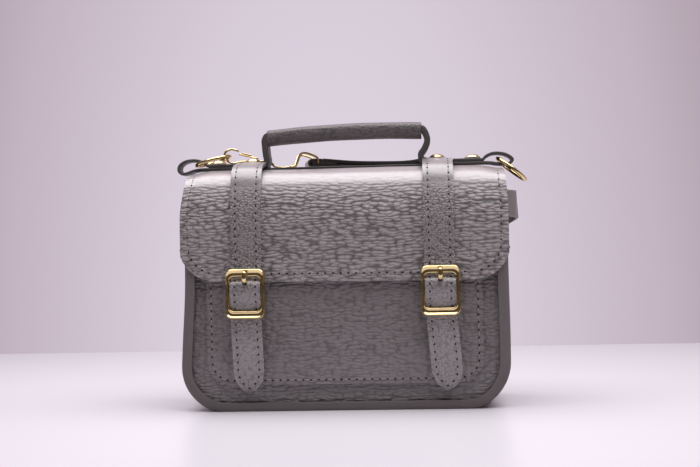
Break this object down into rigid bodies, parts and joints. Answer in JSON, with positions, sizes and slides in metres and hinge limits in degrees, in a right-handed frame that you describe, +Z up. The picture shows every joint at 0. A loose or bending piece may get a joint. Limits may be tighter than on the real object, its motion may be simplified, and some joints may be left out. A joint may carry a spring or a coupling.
{
  "type": "satchel",
  "caption": "Small leather satchel with an arched flap, buckled straps over hidden snaps, a rolled top handle, side rings and a clip-on shoulder strap.",
  "frame": {"origin": "middle of the flat base, on the surface the bag stands on", "axes": "+Z up, -Y towards the front with the buckles, +X towards the viewer's right, along the bag's width"},
  "size_m": [0.2233, 0.1496, 0.178],
  "materials": {
    "leather": "pearly pebbled grain",
    "edge_leather": "painted edge, matt",
    "lining_cloth": "woven",
    "board": "matt",
    "gold_metal": "polished pale gold plate"
  },
  "bodies": {
    "bag": {"gusset": "leather", "front_panel": "leather", "back_panel": "leather", "lining": "lining_cloth", "base_board": "board", "front_pocket": "leather", "flap_hem": "leather", "strap_end_left": "leather", "strap_end_right": "leather", "snap_socket_left": "gold_metal", "snap_socket_right": "gold_metal", "shoulder_strap_back": "leather", "shoulder_strap_coil": "leather", "strap_fold_far": "leather", "far_clip_eye": "gold_metal"},
    "flap_upper": {"flap_top": "leather", "strap_top_left": "leather", "strap_top_right": "leather", "handle_base_strip": "edge_leather", "handle_foot_left": "edge_leather", "handle_foot_right": "edge_leather", "handle_leg_left": "edge_leather", "handle_leg_right": "edge_leather", "ring_tab_left": "edge_leather", "ring_tab_right": "edge_leather", "strap_rivet_left": "gold_metal", "strap_rivet_right": "gold_metal", "tab_rivet_left": "gold_metal", "tab_rivet_right": "gold_metal", "shoulder_strap_top": "leather", "strap_fold_near": "leather", "near_clip_eye": "gold_metal"},
    "flap_lower": {"flap_front": "leather", "strap_front_left": "leather", "strap_front_right": "leather", "buckle_left": "gold_metal", "buckle_right": "gold_metal", "chape_left": "leather", "chape_right": "leather", "snap_stud_left": "gold_metal", "snap_stud_right": "gold_metal"},
    "prong_l": {"prong_left": "gold_metal"},
    "prong_r": {"prong_right": "gold_metal"},
    "ring_l": {"ring_left": "gold_metal"},
    "ring_r": {"ring_right": "gold_metal"},
    "grip": {"handle_grip": "leather"},
    "hook_near": {"near_clip_hook": "gold_metal"},
    "gate_near": {"near_clip_gate": "gold_metal"},
    "hook_far": {"far_clip_hook": "gold_metal"},
    "gate_far": {"far_clip_gate": "gold_metal"}
  },
  "joints": [
    {"name": "flap_lift", "type": "hinge", "parent": "bag", "child": "flap_upper", "pos_m": [0, 0.0438, 0.13767], "axis": [-1, 0, 0], "range_deg": [0, 105]},
    {"name": "flap_fold", "type": "hinge", "parent": "flap_upper", "child": "flap_lower", "pos_m": [0, -0.0428, 0.13767], "axis": [-1, 0, 0], "range_deg": [0, 75]},
    {"name": "prong_left_lift", "type": "hinge", "parent": "flap_lower", "child": "prong_l", "pos_m": [-0.059, -0.044, 0.0725], "axis": [1, 0, 0], "range_deg": [0, 15]},
    {"name": "prong_right_lift", "type": "hinge", "parent": "flap_lower", "child": "prong_r", "pos_m": [0.059, -0.044, 0.0725], "axis": [1, 0, 0], "range_deg": [0, 15]},
    {"name": "ring_left_swing", "type": "hinge", "parent": "flap_upper", "child": "ring_l", "pos_m": [-0.0956, 0, 0.1538], "axis": [0, -1, 0], "range_deg": [0, 4]},
    {"name": "ring_right_swing", "type": "hinge", "parent": "flap_upper", "child": "ring_r", "pos_m": [0.0972, 0, 0.1538], "axis": [0, -1, 0], "range_deg": [-4, 210]},
    {"name": "handle_raise", "type": "slide", "parent": "flap_upper", "child": "grip", "axis": [0, 0, 1], "range_m": [0, 0.004], "deforming": ["handle_leg_left", "handle_leg_right"]},
    {"name": "near_hook_swivel", "type": "hinge", "parent": "flap_upper", "child": "hook_near", "pos_m": [-0.0355, 0.013, 0.1518], "axis": [-0.9823, -0.1874, 0], "range_deg": [-4, 4]},
    {"name": "near_gate_open", "type": "hinge", "parent": "hook_near", "child": "gate_near", "pos_m": [-0.05696, 0.00891, 0.15811], "axis": [0.1874, -0.9823, 0], "range_deg": [0, 12]},
    {"name": "far_hook_swivel", "type": "hinge", "parent": "bag", "child": "hook_far", "pos_m": [0.0303, 0.072, 0.0023], "axis": [-1, 0, 0], "range_deg": [0, 60]},
    {"name": "far_gate_open", "type": "hinge", "parent": "hook_far", "child": "gate_far", "pos_m": [0.05215, 0.06569, 0.0023], "axis": [0, 0, 1], "range_deg": [0, 12]}
  ]
}
